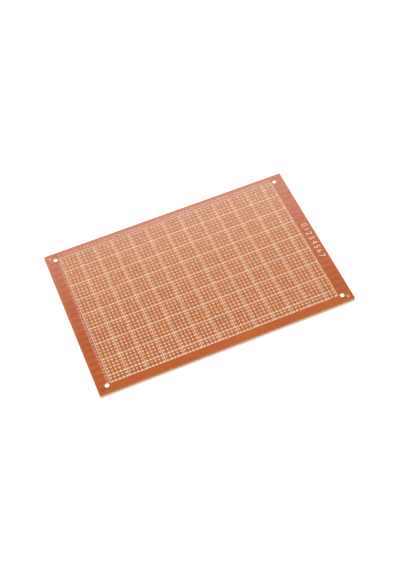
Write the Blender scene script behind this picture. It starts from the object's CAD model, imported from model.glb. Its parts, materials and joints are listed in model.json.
"""A drilled prototype board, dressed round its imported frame.

The board is one sheet of brown phenolic-paper laminate with lead holes on a 2.54 mm grid, copper
lands on its underside, and a counting grid with plain numbers printed on its top. All lengths are
in metres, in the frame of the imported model.
"""

import json
import logging
import math
from collections.abc import Mapping, Sequence
from dataclasses import dataclass
from enum import Enum

import bpy
import numpy as np
from mathutils import Matrix, Vector


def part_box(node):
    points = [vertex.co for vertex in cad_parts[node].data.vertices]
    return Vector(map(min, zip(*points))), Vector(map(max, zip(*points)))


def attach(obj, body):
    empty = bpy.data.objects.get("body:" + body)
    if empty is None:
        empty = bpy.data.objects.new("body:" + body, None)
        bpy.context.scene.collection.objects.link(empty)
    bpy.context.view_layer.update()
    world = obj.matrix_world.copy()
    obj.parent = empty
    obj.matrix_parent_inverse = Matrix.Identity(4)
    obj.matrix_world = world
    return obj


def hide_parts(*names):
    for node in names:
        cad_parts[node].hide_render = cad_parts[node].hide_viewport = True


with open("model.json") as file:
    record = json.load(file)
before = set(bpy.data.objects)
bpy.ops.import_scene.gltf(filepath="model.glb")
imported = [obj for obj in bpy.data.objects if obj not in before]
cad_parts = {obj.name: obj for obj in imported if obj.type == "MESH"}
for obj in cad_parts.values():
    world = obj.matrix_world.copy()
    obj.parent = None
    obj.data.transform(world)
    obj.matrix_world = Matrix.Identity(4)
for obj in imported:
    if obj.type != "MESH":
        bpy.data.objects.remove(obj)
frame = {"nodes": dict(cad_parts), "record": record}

MM = 0.001
BODY = "root"
# A face whose normal points up or down by more than this share lies flat
UP_FACING = 0.5
# Distance within which points count as one
WELD = 0.001 * MM

Node = bpy.types.Node
Socket = bpy.types.NodeSocket
Material = bpy.types.Material
Colour = tuple[float, float, float]

log = logging.getLogger("prototype_board")


class Slot(Enum):
    """The record's material slots."""

    LAMINATE = "laminate"
    COPPER = "copper"
    INK = "ink"


# ---------------------------------------------------------------------------------- node helpers


class Wiring:
    """Adds nodes to a tree and joins them up."""

    def __init__(self, tree: bpy.types.NodeTree) -> None:
        """Keeps the tree that the nodes go into.

        Args:
            tree: A material's or a modifier's node tree.
        """
        self.tree = tree

    def add(self, kind: str, inputs: Mapping[str | int, object] | None = None,
            **settings: object) -> Node:
        """Adds one node.

        Args:
            kind: The node's type.
            inputs: A value, or a socket to link from, for each input by name or by number.
            **settings: The node's own properties.

        Returns:
            The new node.
        """
        node = self.tree.nodes.new(kind)
        for name, value in settings.items():
            setattr(node, name, value)
        for key, value in (inputs or {}).items():
            if isinstance(value, Socket):
                self.tree.links.new(value, node.inputs[key])
            else:
                node.inputs[key].default_value = value
        return node

    def math(self, operation: str, *values: float | Socket, clamp: bool = False) -> Socket:
        """Adds a calculation on one to three values.

        Args:
            operation: The Math node's operation.
            *values: Numbers or sockets.
            clamp: Whether the outcome stays between 0 and 1.

        Returns:
            The outcome's socket.
        """
        node = self.add("ShaderNodeMath", dict(enumerate(values)), operation=operation, use_clamp=clamp)
        return node.outputs[0]

    def ramp(self, value: Socket, low: float, high: float) -> Socket:
        """Eases a value from 0 at low to 1 at high; low may be the larger one."""
        spread = {"Value": value, "From Min": low, "From Max": high}
        return self.add("ShaderNodeMapRange", spread, interpolation_type="SMOOTHSTEP").outputs[0]


@dataclass(frozen=True)
class Pattern:
    """Noise in a finish, and how strongly its blotches take on a colour.

    Attributes:
        grain: Size of a blotch.
        stretch: How much longer a blotch is along X, Y and Z.
        detail: Octaves of finer noise.
        finer: Weight of the finer octaves.
        start: The noise's value at which the colour begins to show.
        full: The value at which it shows most.
        share: Its share there.
    """

    grain: float
    stretch: tuple[float, float, float] = (1, 1, 1)
    detail: float = 2.0
    finer: float = 0.5
    start: float = 0.0
    full: float = 1.0
    share: float = 1.0


class MaterialWiring(Wiring):
    # A Mix node's sockets for colours: the second one's share, the first, the second, the blend
    SHARE, FIRST, SECOND, BLEND = 0, 6, 7, 2

    def __init__(self, name: str) -> None:
        """Starts a material.

        Args:
            name: The finish's name.
        """
        self.material = bpy.data.materials.new(name)
        self.material.use_nodes = True
        super().__init__(self.material.node_tree)
        self.tree.nodes.clear()
        self.place = self.add("ShaderNodeTexCoord").outputs["Object"]

    def axes(self) -> tuple[Socket, Socket, Socket]:
        """Gives the place on the object along X, Y and Z."""
        parts = self.add("ShaderNodeSeparateXYZ", {0: self.place}).outputs
        return parts[0], parts[1], parts[2]

    def noise(self, pattern: Pattern) -> Socket:
        """Adds a pattern's noise.

        Args:
            pattern: The pattern.

        Returns:
            A value that wanders about 0.5.
        """
        scale = [1 / (pattern.grain * s) for s in pattern.stretch]
        place = self.add("ShaderNodeMapping", {"Vector": self.place, "Scale": scale}).outputs[0]
        inputs = {"Vector": place, "Scale": 1.0, "Detail": pattern.detail, "Roughness": pattern.finer}
        return self.add("ShaderNodeTexNoise", inputs).outputs["Fac"]

    def cover(self, noise: Socket, pattern: Pattern) -> Socket:
        """Gives the share of a pattern's colour that shows where its noise has some value."""
        return self.math("MULTIPLY", self.ramp(noise, pattern.start, pattern.full), pattern.share)

    def mix(self, share: float | Socket, first: Colour | Socket, second: Colour | Socket) -> Socket:
        """Blends two colours.

        Args:
            share: The second colour's share.
            first: A colour, or the socket of one.
            second: A colour, or the socket of one.

        Returns:
            The blend's socket.
        """
        first, second = (c if isinstance(c, Socket) else (*c, 1.0) for c in (first, second))
        inputs = {self.SHARE: share, self.FIRST: first, self.SECOND: second}
        node = self.add("ShaderNodeMix", inputs, data_type="RGBA", clamp_factor=True)
        return node.outputs[self.BLEND]

    def bump(self, height: Socket, depth: float) -> Socket:
        """Turns a height from 0 to 1 into a relief of that depth."""
        return self.add("ShaderNodeBump", {"Height": height, "Distance": depth}).outputs[0]

    def finish(self, **inputs: object) -> Material:
        """Ends the tree in a Principled shader.

        Args:
            **inputs: The shader's inputs, with _ for a blank in a name.

        Returns:
            The material.
        """
        named = {key.replace("_", " "): value for key, value in inputs.items()}
        shader = self.add("ShaderNodeBsdfPrincipled", named)
        self.add("ShaderNodeOutputMaterial", {"Surface": shader.outputs[0]})
        return self.material


class SolidWiring(Wiring):
    """A geometry tree that grows one solid piece from named sizes."""

    KINDS = {int: "NodeSocketInt", float: "NodeSocketFloat"}

    def __init__(self, name: str, sizes: Mapping[str, int | float]) -> None:
        """Starts a tree.

        Args:
            name: The tree's name.
            sizes: The value of each named input.
        """
        super().__init__(bpy.data.node_groups.new(name, "GeometryNodeTree"))
        self.sizes = dict(sizes)
        self.tree.interface.new_socket("Geometry", in_out="OUTPUT", socket_type="NodeSocketGeometry")
        for label, value in self.sizes.items():
            self.tree.interface.new_socket(label, in_out="INPUT", socket_type=self.KINDS[type(value)])
        self.given = self.add("NodeGroupInput").outputs

    def vector(self, x: float | Socket = 0.0, y: float | Socket = 0.0, z: float | Socket = 0.0) -> Socket:
        """Puts three values together."""
        return self.add("ShaderNodeCombineXYZ", {0: x, 1: y, 2: z}).outputs[0]

    def join(self, *parts: Socket) -> Socket:
        """Puts several geometries together.

        Args:
            *parts: The geometries.

        Returns:
            All of them as one geometry.
        """
        node = self.add("GeometryNodeJoinGeometry")
        for part in parts:
            self.tree.links.new(part, node.inputs[0])
        return node.outputs[0]

    def lattice(self, columns: int | Socket, rows: int | Socket, step_x: float | Socket,
                step_y: float | Socket) -> Socket:
        """Lays points in columns and rows about the origin.

        Args:
            columns: Points along X.
            rows: Points along Y.
            step_x: Distance between columns.
            step_y: Distance between rows.

        Returns:
            The points, row by row within each column.
        """
        length = self.math("MULTIPLY", self.math("SUBTRACT", columns, 1), step_x)
        width = self.math("MULTIPLY", self.math("SUBTRACT", rows, 1), step_y)
        inputs = {"Size X": length, "Size Y": width, "Vertices X": columns, "Vertices Y": rows}
        return self.add("GeometryNodeMeshGrid", inputs).outputs["Mesh"]

    def circle(self, diameter: Socket, sides: Socket) -> Socket:
        """Draws a circle about the origin."""
        inputs = {"Resolution": sides, "Radius": self.math("MULTIPLY", diameter, 0.5)}
        return self.add("GeometryNodeCurvePrimitiveCircle", inputs).outputs[0]

    def rectangle(self, length: float | Socket, width: float | Socket) -> Socket:
        """Draws a rectangle about the origin."""
        inputs = {"Width": length, "Height": width}
        return self.add("GeometryNodeCurvePrimitiveQuadrilateral", inputs).outputs[0]

    def on_points(self, points: Socket, shape: Socket, **inputs: object) -> Socket:
        """Puts a copy of a shape on each point.

        Args:
            points: The points.
            shape: The shape, about the origin.
            **inputs: The other inputs of the node that puts the copies in place.

        Returns:
            The copies.
        """
        named = {"Points": points, "Instance": shape, **inputs}
        copies = self.add("GeometryNodeInstanceOnPoints", named).outputs[0]
        return self.add("GeometryNodeRealizeInstances", {0: copies}).outputs[0]

    def filled(self, *outlines: Socket) -> Socket:
        """Fills flat outlines; one inside another is a hole."""
        return self.add("GeometryNodeFillCurve", {0: self.join(*outlines)}, mode="TRIANGLES").outputs[0]

    def welded(self, *parts: Socket) -> Socket:
        """Joins parts whose edges meet."""
        inputs = {"Geometry": self.join(*parts), "Distance": WELD}
        return self.add("GeometryNodeMergeByDistance", inputs).outputs[0]

    def slab(self, sheet: Socket, thickness: Socket, side: Material | None = None) -> Socket:
        """Gives a flat sheet a thickness upwards, as a closed solid.

        Args:
            sheet: The flat sheet, which faces up.
            thickness: The solid's height.
            side: The material of its walls, where they have one of their own.

        Returns:
            The solid.
        """
        inputs = {"Mesh": sheet, "Offset Scale": thickness, "Individual": False}
        raised = self.add("GeometryNodeExtrudeMesh", inputs, mode="FACES")
        walls = raised.outputs["Mesh"]
        if side:
            walls = self.painted(walls, side, raised.outputs["Side"])
        under = self.add("GeometryNodeFlipFaces", {0: sheet}).outputs[0]
        return self.welded(walls, under)

    def moved(self, shape: Socket, place: Socket) -> Socket:
        """Shifts a shape."""
        return self.add("GeometryNodeTransform", {"Geometry": shape, "Translation": place}).outputs[0]

    def painted(self, shape: Socket, material: Material, where: Socket | None = None) -> Socket:
        """Gives the faces, or those picked by where, a material.

        Args:
            shape: The shape.
            material: The material.
            where: A value that is true on the faces that get it, where not all of them do.

        Returns:
            The shape with its material.
        """
        chosen = {"Selection": where} if where else {}
        inputs = {"Geometry": shape, "Material": material, **chosen}
        return self.add("GeometryNodeSetMaterial", inputs).outputs[0]

    def grow(self, name: str, shape: Socket) -> bpy.types.Object:
        """Runs the tree and turns what it gives into a plain mesh.

        Args:
            name: The piece's name.
            shape: The finished geometry in the tree.

        Returns:
            The piece, at the origin.
        """
        whole = self.add("GeometryNodeRealizeInstances", {0: shape}).outputs[0]
        self.add("NodeGroupOutput", {0: whole})
        piece = bpy.data.objects.new(name, bpy.data.meshes.new(name))
        bpy.context.scene.collection.objects.link(piece)
        modifier = piece.modifiers.new("Grow", "NODES")
        modifier.node_group = self.tree
        for item in self.tree.interface.items_tree:
            if item.in_out == "INPUT":
                modifier[item.identifier] = self.sizes[item.name]
        bpy.context.view_layer.update()
        evaluated = piece.evaluated_get(bpy.context.evaluated_depsgraph_get())
        mesh = bpy.data.meshes.new_from_object(evaluated)
        piece.modifiers.remove(modifier)
        piece.data = mesh
        mesh.name = name
        # A mesh that a tree makes starts with an empty slot
        while mesh.materials[0] is None:
            mesh.materials.pop(index=0)
        return piece


# ---------------------------------------------------------------------------------------- layout


@dataclass(frozen=True)
class Layout:
    """Where things lie on the board.

    Attributes:
        low: The board's lowest corner.
        high: The board's highest corner.
        ink_top: Height of the ink's face.
        foil: Thickness of the copper foil, which lies below the board's lowest corner.
        strip_out: Outer end of the end strips, from the board's middle.
        mount_length: Distance between mounting holes along X.
        mount_width: Distance between mounting holes along Y.
        mount_d: A mounting hole's diameter.
        pitch: Distance from one lead hole to the next.
        columns: Columns of lead holes, along X.
        rows: Rows of lead holes, along Y.
        hole_d: A lead hole's diameter.
        land_d: Outer diameter of the land round it.
        cell: Lead holes from one printed line to the next.
        print_shift: How far the print sits off the lead holes.
        strip_width: Width of an end strip, along Y.
        strip_step: Lead holes from one end strip to the next.
        strip_clear: Distance from the drilled field to the end strips.
    """

    low: Vector
    high: Vector
    ink_top: float
    foil: float
    strip_out: float
    mount_length: float
    mount_width: float
    mount_d: float
    pitch: float = 2.54 * MM
    columns: int = 63
    rows: int = 42
    hole_d: float = 1.2 * MM
    land_d: float = 1.9 * MM
    cell: int = 5
    print_shift: tuple[float, float] = (-0.12 * MM, 0.33 * MM)
    strip_width: float = 2.6 * MM
    strip_step: int = 2
    strip_clear: float = 1.0 * MM

    @classmethod
    def from_frame(cls) -> "Layout":
        """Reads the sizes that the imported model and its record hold.

        Returns:
            The layout.
        """
        low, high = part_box("board")
        mount = next(m for m in frame["record"]["mounts"] if m["kind"] == "bolt_pattern")
        sizes = mount["dims"]
        strips_low, strips_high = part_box("end_strips")
        foil = low.z - strips_low.z
        return cls(low, high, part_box("print")[1].z, foil, strips_high.x, sizes["spacing_x_mm"] * MM,
                   sizes["spacing_y_mm"] * MM, 2 * sizes["hole_r_mm"] * MM)

    @property
    def length(self) -> float:
        """The board's length."""
        return self.high.x - self.low.x

    @property
    def width(self) -> float:
        """The board's width."""
        return self.high.y - self.low.y

    @property
    def top(self) -> float:
        """Height of the board's printed face."""
        return self.high.z

    @property
    def strip_in(self) -> float:
        """Inner end of the end strips, from the board's middle."""
        return self.field_length / 2 + self.strip_clear

    @property
    def field_length(self) -> float:
        """Length of the printed grid."""
        return self.columns * self.pitch

    @property
    def field_width(self) -> float:
        """Width of the printed grid."""
        return self.rows * self.pitch


# -------------------------------------------------------------------------------------- finishes


class Draw(Enum):
    """What each lead hole draws a value of its own for; the number is the draw's seed."""

    TINT = 1
    DULLNESS = 2
    RIM = 3


class HolePattern:
    """Shader values that follow the lead holes."""

    def __init__(self, wiring: MaterialWiring, layout: Layout) -> None:
        """Works out the place relative to the nearest lead hole.

        Args:
            wiring: The material's tree.
            layout: The board's layout.
        """
        self.wiring = wiring
        x, y, _ = wiring.axes()
        self.column, self.off_x = self._nearest(x, layout.columns, layout.pitch)
        self.row, self.off_y = self._nearest(y, layout.rows, layout.pitch)
        inside = [
            wiring.math("LESS_THAN", wiring.math("ABSOLUTE", place), reach / 2)
            for place, reach in ((x, layout.field_length), (y, layout.field_width))
        ]
        self.in_field = wiring.math("MULTIPLY", *inside)

    def _nearest(self, place: Socket, count: int, pitch: float) -> tuple[Socket, Socket]:
        """Finds the nearest line of holes across one axis.

        Args:
            place: The place along the axis.
            count: Lines of holes across it.
            pitch: The distance between them.

        Returns:
            The line's number, and the distance from it.
        """
        shift = 0.5 if count % 2 == 0 else 0.0
        steps = self.wiring.math("MULTIPLY_ADD", place, 1 / pitch, shift)
        number = self.wiring.math("ROUND", steps)
        return number, self.wiring.math("MULTIPLY", self.wiring.math("SUBTRACT", steps, number), pitch)

    def distance(self, nearer: float = 0.0) -> Socket:
        """Gives the distance from the nearest hole's axis.

        Args:
            nearer: How far towards -Y from the axis to measure from instead.

        Returns:
            The distance's socket.
        """
        off_y = self.wiring.math("ADD", self.off_y, nearer)
        square = self.wiring.math("MULTIPLY", off_y, off_y)
        return self.wiring.math("SQRT", self.wiring.math("MULTIPLY_ADD", self.off_x, self.off_x, square))

    def draw(self, what: Draw) -> Socket:
        """Gives each hole a value of its own from 0 to 1.

        Args:
            what: What the value is for.

        Returns:
            The value's socket.
        """
        place = {0: self.column, 1: self.row, 2: what.value}
        key = self.wiring.add("ShaderNodeCombineXYZ", place).outputs[0]
        return self.wiring.add("ShaderNodeTexWhiteNoise", {"Vector": key}).outputs["Value"]


@dataclass(frozen=True)
class LaminateFace:
    """Brown phenolic-paper laminate under its glossy resin.

    It is pale where the punch has crushed it, and lets the light through a little, so that it is
    darker above copper.

    Attributes:
        brown: Its colour.
        light: Its colour in the lighter clouds.
        dark: Its colour in the streaks and fibres, and above an end strip.
        crushed: Its colour on the rim round a lead hole.
        above_land: Its colour above the lands.
        clouds: The lighter clouds.
        streaks: The streaks.
        fibres: The fibres.
        rim: Mean width of the crushed rim; a hole's own is up to half of this more or less.
        rim_shift: How far the rim lies towards -Y.
        blur: How far the edge of copper spreads in the sheet.
        field_share: Share of the colour above the lands anywhere in the drilled field.
        land_share: What a land adds to that share.
        strip_share: Share of the dark colour above an end strip.
        roughness: Mean roughness of the resin.
        roughness_spread: How much rougher the lightest clouds are than the darkest.
        specular: Strength of its reflections.
        fibre_height: Height of the fibres, where the streaks' is 1.
        depth: Depth of the relief.
    """

    brown: Colour = (0.52, 0.100, 0.007)
    light: Colour = (0.57, 0.120, 0.010)
    dark: Colour = (0.36, 0.055, 0.004)
    crushed: Colour = (1.0, 0.60, 0.33)
    above_land: Colour = (0.33, 0.145, 0.055)
    clouds: Pattern = Pattern(14 * MM, (2.2, 1, 1), detail=3, start=0.30, full=0.75)
    streaks: Pattern = Pattern(2.5 * MM, (9, 1, 1), detail=3, finer=0.6, start=0.50, full=0.75,
                               share=0.25)
    fibres: Pattern = Pattern(0.35 * MM, (4, 1, 1), start=0.45, full=0.75, share=0.22)
    rim: float = 0.20 * MM
    rim_shift: float = 0.24 * MM
    blur: float = 0.6 * MM
    field_share: float = 0.36
    land_share: float = 0.28
    strip_share: float = 0.5
    roughness: float = 0.24
    roughness_spread: float = 0.12
    specular: float = 0.3
    fibre_height: float = 0.6
    depth: float = 0.006 * MM

    def make(self, layout: Layout) -> Material:
        """Builds the material.

        Args:
            layout: The board's layout, whose holes the crushed rims follow.

        Returns:
            The material.
        """
        m = MaterialWiring("laminate_face")
        clouds, streaks, fibres = (m.noise(p) for p in (self.clouds, self.streaks, self.fibres))
        colour = m.mix(m.cover(clouds, self.clouds), self.brown, self.light)
        colour = m.mix(m.cover(streaks, self.streaks), colour, self.dark)
        colour = m.mix(m.cover(fibres, self.fibres), colour, self.dark)
        holes = HolePattern(m, layout)
        above = self._above_land(m, layout, holes)
        lands = m.math("MULTIPLY_ADD", above, self.land_share, self.field_share)
        colour = m.mix(m.math("MULTIPLY", lands, holes.in_field), colour, self.above_land)
        strips = m.math("MULTIPLY", self._above_strip(m, layout), self.strip_share)
        colour = m.mix(strips, colour, self.dark)
        colour = m.mix(self._on_rim(m, layout, holes), colour, self.crushed)
        smoothest = self.roughness - self.roughness_spread / 2
        rough = m.math("MULTIPLY_ADD", clouds, self.roughness_spread, smoothest)
        relief = m.bump(m.math("MULTIPLY_ADD", fibres, self.fibre_height, streaks), self.depth)
        return m.finish(Base_Color=colour, Roughness=rough, Normal=relief,
                        Specular_IOR_Level=self.specular)

    def _on_rim(self, m: MaterialWiring, layout: Layout, holes: HolePattern) -> Socket:
        """Gives 1 on the crushed rim round a lead hole, and 0 elsewhere.

        Args:
            m: The material's tree.
            layout: The board's layout.
            holes: The values that follow the lead holes.

        Returns:
            The value's socket.
        """
        least = layout.hole_d / 2 + self.rim / 2
        reach = m.math("MULTIPLY_ADD", holes.draw(Draw.RIM), self.rim, least)
        inside = m.math("LESS_THAN", holes.distance(self.rim_shift), reach)
        return m.math("MULTIPLY", inside, holes.in_field)

    def _above_land(self, m: MaterialWiring, layout: Layout, holes: HolePattern) -> Socket:
        """Gives 1 above a lead hole's land, easing to 0 beside it."""
        edge = layout.land_d / 2
        return m.ramp(holes.distance(), edge + self.blur / 2, edge - self.blur / 2)

    def _above_strip(self, m: MaterialWiring, layout: Layout) -> Socket:
        """Gives 1 above an end strip, easing to 0 beside it.

        Args:
            m: The material's tree.
            layout: The board's layout.

        Returns:
            The value's socket.
        """
        x, y, _ = m.axes()
        step = layout.strip_step * layout.pitch
        from_middle = m.math("ABSOLUTE", m.math("WRAP", y, step / 2, -step / 2))
        half = layout.strip_width / 2
        across = m.ramp(from_middle, half + self.blur, half - self.blur)
        away = m.math("ABSOLUTE", x)
        ends = [m.ramp(away, end - self.blur * way, end + self.blur * way)
                for end, way in ((layout.strip_in, 1), (layout.strip_out, -1))]
        return m.math("MULTIPLY", across, m.math("MULTIPLY", *ends))


@dataclass(frozen=True)
class DrilledWall:
    """The wall of a lead hole or a mounting hole: broken paper, darker further down.

    Attributes:
        pale: The paper's colour.
        pink: Its colour in some of the holes.
        shade: Its colour in the crumbs, in the dull holes and further down.
        pink_from: The draw from 0 to 1 above which a hole is pink.
        dull_from: The draw above which a hole is dull.
        dull_share: Share of the shade in the dullest hole.
        crumbs: The crumbs of the broken paper.
        shade_depths: Where the shade begins, and where it is full, below the printed face.
        shade_share: Its share there.
        roughness: The wall's roughness.
        depth: Depth of the relief.
    """

    pale: Colour = (1.0, 0.77, 0.45)
    pink: Colour = (1.0, 0.62, 0.38)
    shade: Colour = (1.0, 0.42, 0.18)
    pink_from: float = 0.35
    dull_from: float = 0.6
    dull_share: float = 0.35
    crumbs: Pattern = Pattern(0.16 * MM, start=0.5, full=0.8, share=0.25)
    shade_depths: tuple[float, float] = (0.3 * MM, 0.9 * MM)
    shade_share: float = 0.6
    roughness: float = 0.8
    depth: float = 0.02 * MM

    def make(self, layout: Layout) -> Material:
        """Builds the material.

        Args:
            layout: The board's layout: each hole has its own tint.

        Returns:
            The material.
        """
        m = MaterialWiring("drilled_wall")
        holes = HolePattern(m, layout)
        colour = m.mix(m.ramp(holes.draw(Draw.TINT), self.pink_from, 1.0), self.pale, self.pink)
        crumbs = m.noise(self.crumbs)
        dull = m.math("MULTIPLY", m.ramp(holes.draw(Draw.DULLNESS), self.dull_from, 1.0), self.dull_share)
        dull = m.math("ADD", m.cover(crumbs, self.crumbs), dull)
        _, _, height = m.axes()
        begins, full = (layout.top - depth for depth in self.shade_depths)
        below = m.math("MULTIPLY", m.ramp(height, begins, full), self.shade_share)
        colour = m.mix(m.math("MAXIMUM", dull, below), colour, self.shade)
        return m.finish(Base_Color=colour, Roughness=self.roughness, Normal=m.bump(crumbs, self.depth))


@dataclass(frozen=True)
class SawnEdge:
    """The board's sawn edge: pale layers of paper, dark along the lower arris.

    Attributes:
        pale: The edge's colour.
        layer: Its colour in the darker layers and blotches.
        arris: Its colour along the lower arris.
        layers: The layers of paper.
        blotches: The blotches.
        saw_marks: The marks of the saw.
        arris_heights: Where the dark arris begins, and where it is full, above the underside.
        arris_share: Its share there.
        roughness: The edge's roughness.
        depth: Depth of the relief.
    """

    pale: Colour = (0.62, 0.27, 0.11)
    layer: Colour = (0.44, 0.155, 0.05)
    arris: Colour = (0.20, 0.07, 0.02)
    layers: Pattern = Pattern(0.16 * MM, (60, 60, 1), start=0.45, full=0.7, share=0.6)
    blotches: Pattern = Pattern(3 * MM, (1, 1, 0.3), detail=3, start=0.5, full=0.8, share=0.4)
    saw_marks: Pattern = Pattern(0.22 * MM, (1, 1, 8))
    arris_heights: tuple[float, float] = (0.35 * MM, 0.05 * MM)
    arris_share: float = 0.7
    roughness: float = 0.75
    depth: float = 0.03 * MM

    def make(self) -> Material:
        """Builds the material.

        Returns:
            The material.
        """
        m = MaterialWiring("sawn_edge")
        layers = m.noise(self.layers)
        colour = m.mix(m.cover(layers, self.layers), self.pale, self.layer)
        colour = m.mix(m.cover(m.noise(self.blotches), self.blotches), colour, self.layer)
        _, _, height = m.axes()
        low = m.math("MULTIPLY", m.ramp(height, *self.arris_heights), self.arris_share)
        colour = m.mix(low, colour, self.arris)
        relief = m.bump(m.math("ADD", layers, m.noise(self.saw_marks)), self.depth)
        return m.finish(Base_Color=colour, Roughness=self.roughness, Normal=relief)


@dataclass(frozen=True)
class PrintedInk:
    """White screen-printed ink that lets some of the brown through where it is thin.

    Attributes:
        name: The finish's name.
        white: The ink's colour.
        thin: Its colour where it is thin.
        patches: The thin patches.
        mesh: The marks of the screen.
        smoothest: Roughness of the thickest ink.
        roughness_spread: How much rougher the thinnest is.
        specular: Strength of its reflections.
        depth: Depth of the relief.
    """

    name: str = "printed_ink"
    white: Colour = (1.0, 0.94, 0.80)
    thin: Colour = (0.95, 0.72, 0.56)
    patches: Pattern = Pattern(1.1 * MM, detail=3, start=0.45, full=0.8, share=0.6)
    mesh: Pattern = Pattern(0.12 * MM, detail=1)
    smoothest: float = 0.45
    roughness_spread: float = 0.2
    specular: float = 0.3
    depth: float = 0.004 * MM

    def make(self) -> Material:
        """Builds the material.

        Returns:
            The material.
        """
        m = MaterialWiring(self.name)
        patches = m.noise(self.patches)
        colour = m.mix(m.cover(patches, self.patches), self.white, self.thin)
        rough = m.math("MULTIPLY_ADD", patches, self.roughness_spread, self.smoothest)
        relief = m.bump(m.noise(self.mesh), self.depth)
        return m.finish(Base_Color=colour, Roughness=rough, Normal=relief,
                        Specular_IOR_Level=self.specular)


SMALL_PRINT = PrintedInk("small_print", white=(0.84, 0.62, 0.55), thin=(0.72, 0.41, 0.31))


@dataclass(frozen=True)
class CopperFoil:
    """Etched copper foil under clear flux, stained here and there.

    Attributes:
        bright: The copper's colour.
        stained: Its colour in the stains.
        stains: The stains.
        brushing: The marks of the brush.
        smoothest: Roughness of the cleanest copper.
        roughness_spread: How much rougher the most stained is.
        depth: Depth of the relief.
    """

    bright: Colour = (0.80, 0.42, 0.27)
    stained: Colour = (0.44, 0.20, 0.11)
    stains: Pattern = Pattern(6 * MM, detail=4, start=0.45, full=0.75)
    brushing: Pattern = Pattern(0.09 * MM, (1, 14, 1))
    smoothest: float = 0.15
    roughness_spread: float = 0.35
    depth: float = 0.003 * MM

    def make(self) -> Material:
        """Builds the material.

        Returns:
            The material.
        """
        m = MaterialWiring("copper_foil")
        stains = m.noise(self.stains)
        colour = m.mix(m.cover(stains, self.stains), self.bright, self.stained)
        rough = m.math("MULTIPLY_ADD", stains, self.roughness_spread, self.smoothest)
        relief = m.bump(m.noise(self.brushing), self.depth)
        return m.finish(Base_Color=colour, Metallic=1.0, Roughness=rough, Normal=relief)


# ------------------------------------------------------------------------------------ the pieces


@dataclass(frozen=True)
class Tile:
    """A rectangle of a texture map.

    Attributes:
        low: Its low corner, in shares of the map's width and height.
        high: Its high corner.
    """

    low: tuple[float, float]
    high: tuple[float, float]

    def fit(self, share: np.ndarray) -> np.ndarray:
        """Puts shares from 0 to 1 of the tile's width and height on the map."""
        low, high = np.array(self.low), np.array(self.high)
        return low + share * (high - low)


def drawn_in(share: np.ndarray, margin: float) -> np.ndarray:
    """Draws shares in from 0 and 1 by a margin."""
    return margin + (1 - 2 * margin) * share


class MapMaker:
    """Lays the texture map that the export bakes a piece's finish on."""

    # The name that the export looks for
    NAME = "OFBake"

    def __init__(self, piece: bpy.types.Object) -> None:
        """Reads the piece's corners.

        Args:
            piece: The piece, at the origin.
        """
        mesh = piece.data
        self.mesh = mesh
        sides = np.empty(len(mesh.polygons), np.int32)
        mesh.polygons.foreach_get("loop_total", sides)
        owner = np.repeat(np.arange(len(sides)), sides)
        vertex = np.empty(len(mesh.loops), np.int32)
        mesh.loops.foreach_get("vertex_index", vertex)
        self.place = self._read(mesh.vertices, "co")[vertex]
        self.normal = self._read(mesh.polygons, "normal")[owner]
        self.centre = self._read(mesh.polygons, "center")[owner]
        low, high = self.place.min(0), self.place.max(0)
        self.share = (self.place - low) / (high - low)
        self.uv = self.share[:, :2].copy()

    @staticmethod
    def _read(items: bpy.types.bpy_prop_collection, name: str) -> np.ndarray:
        """Reads a vector from each item.

        Args:
            items: A mesh's vertices or faces.
            name: The vector's name.

        Returns:
            One row for each item.
        """
        found = np.empty((len(items), 3), np.float32)
        items.foreach_get(name, found.ravel())
        return found

    def put(self, chosen: np.ndarray, tile: Tile, across: np.ndarray, up: np.ndarray) -> None:
        """Puts the chosen corners on a tile.

        Args:
            chosen: For each corner, whether it is put there.
            tile: The tile.
            across: For each corner, its share of the tile's width.
            up: For each corner, its share of the tile's height.
        """
        self.uv[chosen] = tile.fit(np.stack([across, up], 1)[chosen])

    def turn_about(self, axis: np.ndarray) -> np.ndarray:
        """Gives each corner's share of a turn about an upright axis, without a jump inside a face.

        Args:
            axis: For each corner, the axis's X and Y.

        Returns:
            The share, which may pass 0 or 1 by half a face.
        """
        from_axis = self.place[:, :2] - axis
        face_from_axis = self.centre[:, :2] - axis
        angle = np.arctan2(from_axis[:, 1], from_axis[:, 0])
        middle = np.arctan2(face_from_axis[:, 1], face_from_axis[:, 0])
        off = (angle - middle + math.pi) % (2 * math.pi) - math.pi
        return (middle + off) / (2 * math.pi) + 0.5

    def write(self) -> None:
        """Adds the map to the piece."""
        layer = self.mesh.uv_layers.new(name=self.NAME)
        layer.uv.foreach_set("vector", self.uv.astype(np.float32).ravel())


def hand_over(piece: bpy.types.Object, replaced: Sequence[str] = ()) -> None:
    """Gives a finished piece to the frame and reports it.

    A piece without a map is thin, and gets one that is looked at from above.

    Args:
        piece: The piece, at the origin.
        replaced: The CAD nodes that it stands for.
    """
    if not piece.data.uv_layers:
        MapMaker(piece).write()
    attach(piece, BODY)
    if replaced:
        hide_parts(*replaced)
    piece.data.calc_loop_triangles()
    log.info("%s: %d triangles", piece.name, len(piece.data.loop_triangles))


def dress_node(node: str, finish: Material) -> None:
    """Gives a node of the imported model, whose shape stays, its finish.

    Args:
        node: The node's name.
        finish: Its finish.
    """
    part = frame["nodes"][node]
    for slot in part.material_slots:
        slot.material = finish
    log.info("%s: kept, with its finish", node)


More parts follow.
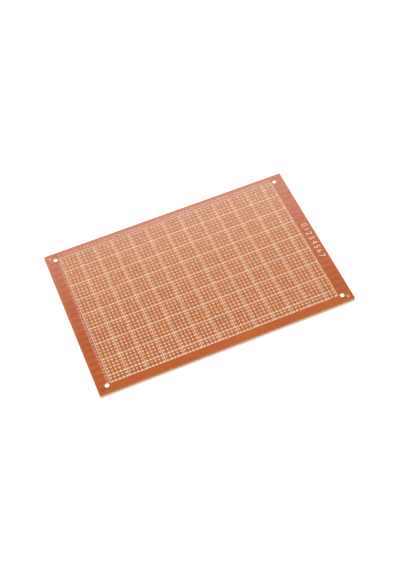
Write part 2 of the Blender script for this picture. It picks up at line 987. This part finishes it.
@dataclass
class DrilledSheet:
    """The laminate sheet with its lead holes and mounting holes.

    Attributes:
        layout: The board's layout.
        corner_r: Radius of the sheet's corners.
        sides: Sides of a lead hole.
    """

    layout: Layout
    corner_r: float = 0.6 * MM
    sides: int = 14

    MOUNT_SIDES = 56
    CORNER_STEPS = 4
    # Tiles of the texture map, by the way that the faces look: -1 is down, near or left
    FACE_TILES = {-1: Tile((0.010, 0.004), (0.720, 0.474)), 1: Tile((0.010, 0.524), (0.720, 0.994))}
    SIDE_TILES = {-1: Tile((0.010, 0.479), (0.720, 0.489)), 1: Tile((0.010, 0.494), (0.720, 0.504))}
    END_TILES = {-1: Tile((0.010, 0.509), (0.360, 0.519)), 1: Tile((0.370, 0.509), (0.720, 0.519))}
    MOUNT_TILE = Tile((0.727, 0.010), (0.748, 0.990))
    LEAD_TILE = Tile((0.755, 0.010), (0.990, 0.990))
    # Margins round the cell of one hole's wall on the map, along its turn and along its height
    TURN_MARGIN = 0.06
    RISE_MARGIN = 0.2

    def build(self) -> bpy.types.Object:
        """Grows the sheet and dresses it.

        Returns:
            The piece.
        """
        lay = self.layout
        w = SolidWiring("drilled sheet", {
            "Length": lay.length, "Width": lay.width, "Thickness": lay.top - lay.low.z,
            "Corner radius": self.corner_r, "Columns": lay.columns, "Rows": lay.rows,
            "Pitch": lay.pitch, "Hole diameter": lay.hole_d, "Mount length": lay.mount_length,
            "Mount width": lay.mount_width, "Mount diameter": lay.mount_d,
            "Hole sides": self.sides, "Mount sides": self.MOUNT_SIDES,
        })
        g = w.given
        pitch = g["Pitch"]
        tile = w.filled(w.rectangle(pitch, pitch), w.circle(g["Hole diameter"], g["Hole sides"]))
        field = w.on_points(w.lattice(g["Columns"], g["Rows"], pitch, pitch), tile)
        outline = w.add("GeometryNodeFilletCurve", {
            "Curve": w.rectangle(g["Length"], g["Width"]), "Radius": g["Corner radius"],
            "Count": self.CORNER_STEPS,
        }, mode="POLY").outputs[0]
        mounts = w.on_points(w.lattice(2, 2, g["Mount length"], g["Mount width"]),
                             w.circle(g["Mount diameter"], g["Mount sides"]))
        margin = w.filled(outline, mounts, self._field_edge(w))
        face, wall = LaminateFace().make(lay), DrilledWall().make(lay)
        sheet = w.slab(w.painted(w.welded(field, margin), face), g["Thickness"], wall)
        sheet = w.painted(sheet, SawnEdge().make(), self._outer_edge(w))
        piece = w.grow("drilled_sheet", sheet)
        self._lay_map(piece)
        hand_over(piece, ["board"])
        return piece

    def _lay_map(self, piece: bpy.types.Object) -> None:
        """Lays the sheet's texture map: both faces, the sawn edges and every hole's wall side by side.

        Args:
            piece: The sheet.
        """
        maker = MapMaker(piece)
        normal, (x, y, height) = maker.normal, maker.share.T
        upright = np.abs(normal[:, 2]) <= UP_FACING
        from_middle = np.abs(maker.centre)
        at_end = upright & (from_middle[:, 0] > self.layout.length / 2 - self.corner_r)
        at_side = upright & (from_middle[:, 1] > self.layout.width / 2 - self.corner_r) & ~at_end
        for way in (-1, 1):
            maker.put(normal[:, 2] * way > UP_FACING, self.FACE_TILES[way], x, y)
            maker.put(at_side & (normal[:, 1] * way > 0), self.SIDE_TILES[way], x, height)
            maker.put(at_end & (normal[:, 0] * way > 0), self.END_TILES[way], y, height)
        self._map_walls(maker, upright & ~at_end & ~at_side)
        maker.write()

    def _map_walls(self, maker: MapMaker, walls: np.ndarray) -> None:
        """Puts each hole's wall in a cell of its own on the map.

        Args:
            maker: The sheet's map.
            walls: For each corner, whether it is on a hole's wall.
        """
        lay, centre, height = self.layout, maker.centre[:, :2], maker.share[:, 2]
        # Every lead hole lies inside the drilled field, and every mounting hole outside it
        in_field = (np.abs(centre) < (lay.field_length / 2, lay.field_width / 2)).all(1)
        middle = (np.array([lay.columns, lay.rows]) - 1) / 2
        number = np.round(centre / lay.pitch + middle)
        axis = (number - middle) * lay.pitch
        turn = drawn_in(maker.turn_about(axis), self.TURN_MARGIN)
        rise = drawn_in(height, self.RISE_MARGIN)
        across, up = (number[:, 1] + rise) / lay.rows, (number[:, 0] + turn) / lay.columns
        maker.put(walls & in_field, self.LEAD_TILE, across, up)
        mount = np.sign(centre) * (lay.mount_length / 2, lay.mount_width / 2)
        quarter = (mount[:, 0] > 0) * 2 + (mount[:, 1] > 0)
        turn = drawn_in(maker.turn_about(mount), self.TURN_MARGIN)
        maker.put(walls & ~in_field, self.MOUNT_TILE, height, (quarter + turn) / 4)

    @staticmethod
    def _field_edge(w: SolidWiring) -> Socket:
        """Draws the edge of the drilled field, with a point at each tile's corner.

        Args:
            w: The sheet's tree.

        Returns:
            The edge, as an outline.
        """
        g = w.given
        around = w.math("ADD", g["Columns"], g["Rows"])
        edge = w.rectangle(w.math("MULTIPLY", g["Columns"], g["Pitch"]),
                           w.math("MULTIPLY", g["Rows"], g["Pitch"]))
        inputs = {"Curve": edge, "Count": w.math("MULTIPLY", around, 2)}
        return w.add("GeometryNodeResampleCurve", inputs, mode="COUNT").outputs[0]

    @staticmethod
    def _outer_edge(w: SolidWiring) -> Socket:
        """Picks the faces of the sawn edge.

        Args:
            w: The sheet's tree.

        Returns:
            A value that is 1 on those faces and 0 elsewhere.
        """
        g = w.given
        place = w.add("ShaderNodeSeparateXYZ", {0: w.add("GeometryNodeInputPosition").outputs[0]}).outputs
        normal = w.add("ShaderNodeSeparateXYZ", {0: w.add("GeometryNodeInputNormal").outputs[0]}).outputs
        near = []
        for side, reach in ((place[0], g["Length"]), (place[1], g["Width"])):
            inner = w.math("MULTIPLY_ADD", reach, 0.5, w.math("MULTIPLY", g["Corner radius"], -1.0))
            near.append(w.math("GREATER_THAN", w.math("ABSOLUTE", side), inner))
        upright = w.math("LESS_THAN", w.math("ABSOLUTE", normal[2]), UP_FACING)
        return w.math("MULTIPLY", w.math("MAXIMUM", *near), upright)


@dataclass
class CopperLands:
    """The copper ring round each lead hole on the underside, in two halves.

    Attributes:
        layout: The board's layout.
        copper: The finish.
        sides: Sides of a land.
    """

    layout: Layout
    copper: Material
    sides: int = 14

    def build(self) -> list[bpy.types.Object]:
        """Grows both halves and dresses them.

        Returns:
            The two pieces.
        """
        columns = self.layout.columns
        halves = {"lands_left": (0, columns // 2), "lands_right": (columns // 2, columns)}
        return [self._half(name, first, last) for name, (first, last) in halves.items()]

    def _half(self, name: str, first: int, last: int) -> bpy.types.Object:
        """Grows the lands of some columns.

        Args:
            name: The piece's name.
            first: The first column.
            last: The column after the last one.

        Returns:
            The piece.
        """
        lay = self.layout
        w = SolidWiring(name, {
            "Columns": last - first, "Rows": lay.rows, "Pitch": lay.pitch,
            "Middle": ((first + last) / 2 - lay.columns / 2) * lay.pitch,
            "Land diameter": lay.land_d, "Hole diameter": lay.hole_d, "Foil": lay.foil,
            "Sides": self.sides,
        })
        g = w.given
        ring = w.filled(w.circle(g["Land diameter"], g["Sides"]), w.circle(g["Hole diameter"], g["Sides"]))
        lands = w.on_points(w.lattice(g["Columns"], g["Rows"], g["Pitch"], g["Pitch"]),
                            w.slab(ring, g["Foil"]))
        below = w.math("MULTIPLY", g["Foil"], -1.0)
        lands = w.painted(w.moved(lands, w.vector(g["Middle"], z=below)), self.copper)
        piece = w.grow(name, lands)
        hand_over(piece, ["lands"])
        return piece


@dataclass(frozen=True)
class Fault:
    """A place where the ink has not taken.

    Attributes:
        x: Its middle from the print's middle, along X.
        y: Its middle from the print's middle, along Y.
        length: Its length along X.
        width: Its width along Y.
    """

    x: float
    y: float
    length: float
    width: float


FAULTS = (
    Fault(59.7 * MM, -49.6 * MM, 1.0 * MM, 2.2 * MM),
    Fault(58.8 * MM, -48.3 * MM, 0.9 * MM, 1.0 * MM),
    Fault(78.7 * MM, -48.3 * MM, 2.2 * MM, 1.0 * MM),
    Fault(76.7 * MM, -53.3 * MM, 2.5 * MM, 1.0 * MM),
    Fault(51.8 * MM, -53.3 * MM, 1.1 * MM, 1.0 * MM),
)


@dataclass
class CountingGrid:
    """The printed lines, one every five lead holes, and the two registration rings.

    Attributes:
        layout: The board's layout.
        ink: The finish.
        line: Width of a line.
        ring_d: Outer diameter of a registration ring.
        ring_line: Width of its line.
        ring_gap: The gap in it, towards +Y.
        ring_at: The right-hand ring's place; the other is opposite.
        ring_steps: Points along it.
    """

    layout: Layout
    ink: Material
    line: float = 0.3 * MM
    ring_d: float = 1.9 * MM
    ring_line: float = 0.35 * MM
    ring_gap: float = 0.6 * MM
    ring_at: tuple[float, float] = (86.1 * MM, -56.0 * MM)
    ring_steps: int = 24

    # Height of a block that cuts a fault out, in thicknesses of the ink
    BLOCK_HEIGHT = 8

    def build(self) -> bpy.types.Object:
        """Grows the lines and the rings and dresses them.

        Returns:
            The piece.
        """
        lay = self.layout
        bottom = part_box("print")[0].z
        w = SolidWiring("counting grid", {
            "Columns": lay.columns, "Rows": lay.rows, "Cell": lay.cell, "Pitch": lay.pitch,
            "Line": self.line, "Bottom": bottom, "Ink": lay.ink_top - bottom,
            "Shift X": lay.print_shift[0], "Shift Y": lay.print_shift[1],
            "Ring diameter": self.ring_d, "Ring line": self.ring_line,
        })
        g = w.given
        frame_edge = w.rectangle(*[
            w.math("MULTIPLY_ADD", g[count], g["Pitch"], g["Line"]) for count in ("Columns", "Rows")
        ])
        lines = w.slab(w.filled(frame_edge, self._windows(w)), g["Ink"])
        lines = w.add("GeometryNodeMeshBoolean", {"Mesh 1": lines, "Mesh 2": self._fault_blocks(w)},
                      operation="DIFFERENCE", solver="EXACT").outputs[0]
        lines = w.moved(lines, w.vector(g["Shift X"], g["Shift Y"]))
        whole = w.moved(w.join(lines, self._rings(w)), w.vector(z=g["Bottom"]))
        piece = w.grow("counting_grid", w.painted(whole, self.ink))
        hand_over(piece, ["print"])
        return piece

    def _windows(self, w: SolidWiring) -> Socket:
        """Draws the bare windows between the lines; the last column and row are narrower.

        Args:
            w: The grid's tree.

        Returns:
            The windows' outlines.
        """
        g = w.given
        lay = self.layout
        across, along = (math.ceil(n / lay.cell) for n in (lay.columns, lay.rows))
        index = w.add("GeometryNodeInputIndex").outputs[0]
        column = w.math("FLOOR", w.math("DIVIDE", index, along))
        row = w.math("FLOORED_MODULO", index, along)
        middles, sizes = [], []
        for number, count, way in ((column, g["Columns"], 1), (row, g["Rows"], -1)):
            start = w.math("MULTIPLY", number, g["Cell"])
            end = w.math("MINIMUM", w.math("ADD", start, g["Cell"]), count)
            middle = w.math("MULTIPLY", w.math("SUBTRACT", w.math("ADD", start, end), count), 0.5 * way)
            middles.append(w.math("MULTIPLY", middle, g["Pitch"]))
            span = w.math("MULTIPLY", w.math("SUBTRACT", end, start), g["Pitch"])
            sizes.append(w.math("SUBTRACT", span, g["Line"]))
        points = w.add("GeometryNodePoints", {"Count": across * along, "Position": w.vector(*middles)})
        return w.on_points(points.outputs[0], w.rectangle(1.0, 1.0), Scale=w.vector(*sizes, 1.0))

    def _fault_blocks(self, w: SolidWiring) -> Socket:
        """Builds the blocks that cut the faults out of the lines.

        Args:
            w: The grid's tree.

        Returns:
            The blocks.
        """
        height = self.BLOCK_HEIGHT * (self.layout.ink_top - self.layout.top)
        blocks = []
        for fault in FAULTS:
            cube = w.add("GeometryNodeMeshCube", {"Size": (fault.length, fault.width, height)})
            blocks.append(w.moved(cube.outputs["Mesh"], w.vector(fault.x, fault.y)))
        return w.join(*blocks)

    def _rings(self, w: SolidWiring) -> Socket:
        """Bends a bar of ink into each registration ring.

        Args:
            w: The grid's tree.

        Returns:
            Both rings.
        """
        g = w.given
        half_gap = math.asin(self.ring_gap / (self.ring_d - self.ring_line))
        inputs = {"Resolution": self.ring_steps, "Start Angle": math.pi / 2 + half_gap,
                  "Sweep Angle": 2 * (math.pi - half_gap),
                  "Radius": w.math("MULTIPLY", w.math("SUBTRACT", g["Ring diameter"], g["Ring line"]), 0.5)}
        arc = w.add("GeometryNodeCurveArc", inputs, mode="RADIUS").outputs[0]
        bar = {"Curve": arc, "Profile Curve": w.rectangle(g["Ring line"], g["Ink"]), "Fill Caps": True}
        ring = w.add("GeometryNodeCurveToMesh", bar).outputs[0]
        middle = w.math("MULTIPLY", g["Ink"], 0.5)
        x, y = self.ring_at
        return w.join(*[w.moved(ring, w.vector(way * x, way * y, middle)) for way in (1, -1)])


@dataclass
class NumberRow:
    """Plain numbers of one or two digits, printed in a row.

    Attributes:
        name: The piece's name.
        count: How many numbers there are.
        start: The first number.
        step: Distance from one number to the next.
        digit_height: Height of a digit.
        digit_width: Distance from one digit to the next.
        downwards: Whether the numbers stand one below the other, and not side by side.
        slimmer: How far each side of a stroke is drawn in.
    """

    name: str
    count: int
    start: int
    step: float
    digit_height: float
    digit_width: float
    downwards: bool = False
    slimmer: float = 0.0

    DIGITS = "0123456789"
    # Height of a digit, and its distance from the next, in text of size 1
    GLYPH_HEIGHT = 0.69
    GLYPH_WIDTH = 0.5
    # Points to each stretch of a digit's outline
    CURVE_STEPS = 3
    # Side, in parts of the distance that a stroke is drawn in by, below which it would turn over
    SHORT_SIDE = 0.8

    def sizes(self) -> dict[str, int | float]:
        """Gives the tree's inputs for this row.

        Returns:
            A size for each input's name.
        """
        return {"Count": self.count, "Start": self.start, "Step": self.step,
                "Digit height": self.digit_height, "Digit width": self.digit_width,
                "Slimmer": self.slimmer}

    def outlines(self, w: SolidWiring) -> Socket:
        """Draws the digits' outlines about the row's middle.

        Args:
            w: A tree with this row's sizes among its inputs.

        Returns:
            The outlines.
        """
        g = w.given
        index = w.add("GeometryNodeInputIndex").outputs[0]
        number = w.math("ADD", index, g["Start"])
        base = len(self.DIGITS)
        tens = w.math("FLOOR", w.math("DIVIDE", number, base))
        units = w.math("FLOORED_MODULO", number, base)
        has_tens = w.math("GREATER_THAN", tens, 0.5)
        scale_x = w.math("DIVIDE", g["Digit width"], self.GLYPH_WIDTH)
        scale_y = w.math("DIVIDE", g["Digit height"], self.GLYPH_HEIGHT)
        middle = w.math("MULTIPLY", w.math("SUBTRACT", g["Count"], 1), 0.5)
        along = w.math("MULTIPLY", w.math("SUBTRACT", index, middle), g["Step"])
        across, down = (0.0, -1.0) if self.downwards else (1.0, 0.0)
        half_digit = w.math("MULTIPLY", g["Digit width"], 0.5)
        left = w.math("SUBTRACT", w.math("MULTIPLY", along, across), half_digit)
        low = w.math("MULTIPLY_ADD", g["Digit height"], -0.5, w.math("MULTIPLY", along, down))
        glyphs = w.add("GeometryNodeStringToCurves", {"String": self.DIGITS, "Size": 1.0}).outputs[0]
        unmoved = w.add("FunctionNodeCombineTransform").outputs[0]
        glyphs = w.add("GeometryNodeSetInstanceTransform", {0: glyphs, "Transform": unmoved}).outputs[0]
        rows = []
        for digit, shift, chosen in ((units, 1, True), (tens, -1, has_tens)):
            aside = w.math("MULTIPLY", w.math("MULTIPLY", half_digit, has_tens), shift)
            place = w.vector(w.math("ADD", left, aside), low)
            points = w.add("GeometryNodePoints", {"Count": g["Count"], "Position": place}).outputs[0]
            rows.append(w.on_points(points, glyphs, **{
                "Pick Instance": True, "Instance Index": digit, "Selection": chosen,
                "Scale": w.vector(scale_x, scale_y, 1.0),
            }))
        fine = {"Geometry": self._slimmed(w, w.join(*rows)), "Resolution": self.CURVE_STEPS}
        return w.add("GeometryNodeSetSplineResolution", fine).outputs[0]

    @staticmethod
    def _slimmed(w: SolidWiring, outlines: Socket) -> Socket:
        """Draws both sides of every stroke in.

        Args:
            w: The tree.
            outlines: The digits' outlines.

        Returns:
            The outlines of slimmer digits.
        """
        down = (0, 0, -1)
        tangent = w.add("GeometryNodeInputTangent").outputs[0]
        inwards = w.add("ShaderNodeVectorMath", {0: tangent, 1: down}, operation="CROSS_PRODUCT").outputs[0]
        step = {0: inwards, "Scale": w.given["Slimmer"]}
        offset = w.add("ShaderNodeVectorMath", step, operation="SCALE").outputs[0]
        return w.add("GeometryNodeSetPosition", {"Geometry": outlines, "Offset": offset}).outputs[0]

    def build(self, layout: Layout, ink: Material, place: Matrix) -> bpy.types.Object:
        """Grows the row and dresses it.

        Args:
            layout: The board's layout.
            ink: The finish.
            place: Where the row lies on the board's face.

        Returns:
            The piece.
        """
        w = SolidWiring(self.name, {**self.sizes(), "Ink": layout.ink_top - layout.top})
        shortest = w.math("MULTIPLY", w.given["Slimmer"], self.SHORT_SIDE)
        inputs = {"Geometry": w.filled(self.outlines(w)), "Distance": shortest}
        flat = w.add("GeometryNodeMergeByDistance", inputs).outputs[0]
        piece = w.grow(self.name, w.painted(w.slab(flat, w.given["Ink"]), ink))
        piece.data.transform(place)
        hand_over(piece)
        return piece


@dataclass
class Numbering:
    """The counts along two edges of the printed grid, and the numbers in the right-hand margin.

    Attributes:
        layout: The board's layout.
        ink: The finish of the numbers in the margin.
        small_print: The finish of the counts.
        column_digit: Height and width of a digit in the count of the columns.
        column_gap: Distance from the grid's far edge to the middle of that count.
        row_digit: Height and width of a digit in the count of the rows.
        row_gap: Distance from the grid's left edge to the middle of that count.
        margin_digit: Height and width of a digit in the margin.
        margin_count: How many numbers there are in the margin.
        margin_step: Distance from one of them to the next.
        margin_at: Place of their middle.
        margin_slimmer: How far each side of their strokes is drawn in.
    """

    layout: Layout
    ink: Material
    small_print: Material
    column_digit: tuple[float, float] = (1.9 * MM, 1.15 * MM)
    column_gap: float = 2.2 * MM
    row_digit: tuple[float, float] = (1.6 * MM, 0.85 * MM)
    row_gap: float = 1.6 * MM
    margin_digit: tuple[float, float] = (4.1 * MM, 2.7 * MM)
    margin_count: int = 8
    margin_step: float = 4.1 * MM
    margin_at: tuple[float, float] = (85.3 * MM, -4.85 * MM)
    margin_slimmer: float = 0.09 * MM

    def build(self) -> None:
        """Grows the three rows of numbers and dresses them."""
        lay = self.layout
        shift_x, shift_y = lay.print_shift
        far = lay.field_width / 2 + shift_y + self.column_gap
        columns = NumberRow("column_numbers", lay.columns, 1, lay.pitch, *self.column_digit)
        columns.build(lay, self.small_print, Matrix.Translation((0, far, lay.top)))
        left = -lay.field_length / 2 + shift_x - self.row_gap
        rows = NumberRow("row_numbers", lay.rows, 1, lay.pitch, *self.row_digit, downwards=True)
        rows.build(lay, self.small_print, Matrix.Translation((left, 0, lay.top)))
        margin = NumberRow("margin_numbers", self.margin_count, 0, self.margin_step,
                           *self.margin_digit, slimmer=self.margin_slimmer)
        turn = Matrix.Rotation(-math.pi / 2, 4, "Z")
        margin.build(lay, self.ink, Matrix.Translation((*self.margin_at, lay.top)) @ turn)


# ---------------------------------------------------------------------------------------- studio


@dataclass
class SoftBox:
    """A rectangular lamp that looks at the board's middle.

    Attributes:
        name: The lamp's name.
        heading: Where it stands, in degrees from the +Y axis towards +X.
        elevation: Its height above the floor, in degrees.
        distance: Its distance from the board's middle.
        width: Its width.
        height: Its height.
        power: Its power in watts.
    """

    name: str
    heading: float
    elevation: float
    distance: float
    width: float
    height: float
    power: float

    def build(self) -> None:
        """Hangs the lamp."""
        data = bpy.data.lights.new(self.name, "AREA")
        data.shape = "RECTANGLE"
        data.size, data.size_y = self.width, self.height
        data.energy = self.power
        lamp = bpy.data.objects.new(self.name, data)
        bpy.context.scene.collection.objects.link(lamp)
        across, up = math.radians(self.heading), math.radians(self.elevation)
        away = Vector((math.sin(across) * math.cos(up), math.cos(across) * math.cos(up), math.sin(up)))
        lamp.location = away * self.distance
        lamp.rotation_euler = away.to_track_quat("Z", "Y").to_euler()


LAMPS = (
    SoftBox("sheen_light", heading=10, elevation=45, distance=1.0, width=0.75, height=0.25, power=4.4),
    SoftBox("front_light", heading=-172, elevation=52, distance=3.4, width=1.7, height=1.7, power=84),
)


@dataclass
class Studio:
    """The pale floor, the light and the camera.

    Attributes:
        layout: The board's layout.
        heading: The way the camera looks, in degrees from the +Y axis towards +X.
        elevation: How far it looks down, in degrees.
        roll: How far it is turned about its own axis, in degrees.
        distance: Its distance from what it looks at.
        target: What it looks at.
        lens: Its focal length in millimetres, on a 36 mm sensor.
        clip: The nearest and the farthest that it sees.
        sky: The strength of the light from all round.
        floor_size: The floor's side.
        floor_drop: How far it lies below the copper.
        floor_white: Its colour.
        floor_warm: Its colour in the board's shadow, where the brown board is mirrored in it.
        glow_near: Strength of its own glow beside the board, which leaves the shadow.
        glow_far: Strength of its glow away from the board, where it looks white.
        glow_reach: How far from the board's near edge that begins.
        glow_inset: How much nearer it begins at the board's ends; behind the board it is twice this.
    """

    layout: Layout
    heading: float = 17.40
    elevation: float = 55.36
    roll: float = -5.96
    distance: float = 0.7003
    target: tuple[float, float, float] = (0.15 * MM, -7.2 * MM, 1.5 * MM)
    lens: float = 65.84
    clip: tuple[float, float] = (0.01, 50.0)
    sky: float = 0.12
    floor_size: float = 6.0
    floor_drop: float = 0.01 * MM
    floor_white: Colour = (0.80, 0.80, 0.80)
    floor_warm: Colour = (0.80, 0.62, 0.45)
    glow_near: float = 0.02
    glow_far: float = 0.75
    glow_reach: float = 2.8 * MM
    glow_inset: float = 1.2 * MM

    def build(self) -> None:
        """Sets up everything round the board."""
        self._camera()
        self._world()
        self._floor()
        for lamp in LAMPS:
            lamp.build()
        bpy.context.scene.view_settings.view_transform = "Standard"

    def _camera(self) -> None:
        """Stands the camera up."""
        data = bpy.data.cameras.new("camera")
        data.lens = self.lens
        data.clip_start, data.clip_end = self.clip
        camera = bpy.data.objects.new("camera", data)
        bpy.context.scene.collection.objects.link(camera)
        across, down = math.radians(self.heading), math.radians(self.elevation)
        away = Vector((-math.sin(across) * math.cos(down), -math.cos(across) * math.cos(down),
                       math.sin(down)))
        camera.location = Vector(self.target) + away * self.distance
        upright = away.to_track_quat("Z", "Y").to_matrix()
        turned = upright @ Matrix.Rotation(math.radians(self.roll), 3, "Z")
        camera.rotation_euler = turned.to_euler()
        bpy.context.scene.camera = camera

    @staticmethod
    def _seen(w: Wiring) -> Socket:
        """Tells whether a ray shows the background itself, and doesn't only light something.

        Args:
            w: A material's or the world's tree.

        Returns:
            1 for such a ray, and 0 for others.
        """
        path = w.add("ShaderNodeLightPath").outputs
        seen = w.math("MAXIMUM", path["Is Camera Ray"], path["Is Glossy Ray"])
        return w.math("MAXIMUM", seen, path["Is Transmission Ray"])

    def _world(self) -> None:
        """Lights the board evenly from all round; the world itself looks white."""
        world = bpy.data.worlds.new("surroundings")
        world.use_nodes = True
        w = Wiring(world.node_tree)
        w.tree.nodes.clear()
        strength = w.math("MULTIPLY_ADD", self._seen(w), 1 - self.sky, self.sky)
        light = w.add("ShaderNodeBackground", {"Color": (1, 1, 1, 1), "Strength": strength})
        w.add("ShaderNodeOutputWorld", {"Surface": light.outputs[0]})
        bpy.context.scene.world = world

    @staticmethod
    def _outside(m: MaterialWiring, x: Socket, y: Socket, length: float, width: float) -> Socket:
        """Gives the distance from a rectangle about the origin, or 0 inside it.

        Args:
            m: The material's tree.
            x: The place along X.
            y: The place along Y.
            length: The rectangle's length along X.
            width: Its width along Y.

        Returns:
            The distance's socket.
        """
        gaps = [
            m.math("MAXIMUM", m.math("SUBTRACT", m.math("ABSOLUTE", place), reach / 2), 0.0)
            for place, reach in ((x, length), (y, width))
        ]
        return m.math("SQRT", m.math("ADD", *[m.math("MULTIPLY", gap, gap) for gap in gaps]))

    def _floor(self) -> None:
        """Lays a white floor that keeps a faint shadow."""
        half = self.floor_size / 2
        height = self.layout.low.z - self.layout.foil - self.floor_drop
        around = ((-half, -half), (half, -half), (half, half), (-half, half))
        mesh = bpy.data.meshes.new("floor")
        mesh.from_pydata([(x, y, height) for x, y in around], [], [range(len(around))])
        floor = bpy.data.objects.new("floor", mesh)
        bpy.context.scene.collection.objects.link(floor)
        m = MaterialWiring("floor")
        x, y, _ = m.axes()
        lay, inset = self.layout, self.glow_inset
        # Under the board the floor shows through the holes, and looks white there too
        under = m.math("LESS_THAN", self._outside(m, x, y, lay.length, lay.width), WELD)
        shaded = m.math("ADD", y, inset)
        away = self._outside(m, x, shaded, lay.length - 2 * inset, lay.width - 2 * inset)
        clear = m.ramp(away, 0.0, self.glow_reach)
        rise = m.math("MULTIPLY", clear, self.glow_far - self.glow_near)
        strength = m.math("MAXIMUM", m.math("ADD", rise, self.glow_near), under)
        glow = m.add("ShaderNodeEmission", {"Strength": m.math("MULTIPLY", strength, self._seen(m))})
        white = m.add("ShaderNodeBsdfDiffuse", {"Color": m.mix(clear, self.floor_warm, self.floor_white)})
        shown = m.add("ShaderNodeAddShader", {0: glow.outputs[0], 1: white.outputs[0]})
        m.add("ShaderNodeOutputMaterial", {"Surface": shown.outputs[0]})
        mesh.materials.append(m.material)


# ------------------------------------------------------------------------------------------ main


def main() -> None:
    """Builds the board and the studio in order."""
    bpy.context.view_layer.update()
    layout = Layout.from_frame()
    Studio(layout).build()
    DrilledSheet(layout).build()
    copper = CopperFoil().make()
    CopperLands(layout, copper).build()
    dress_node("end_strips", copper)
    ink = PrintedInk().make()
    CountingGrid(layout, ink).build()
    Numbering(layout, ink, SMALL_PRINT.make()).build()


if __name__ == "__main__":
    logging.basicConfig(level=logging.INFO)
    main()
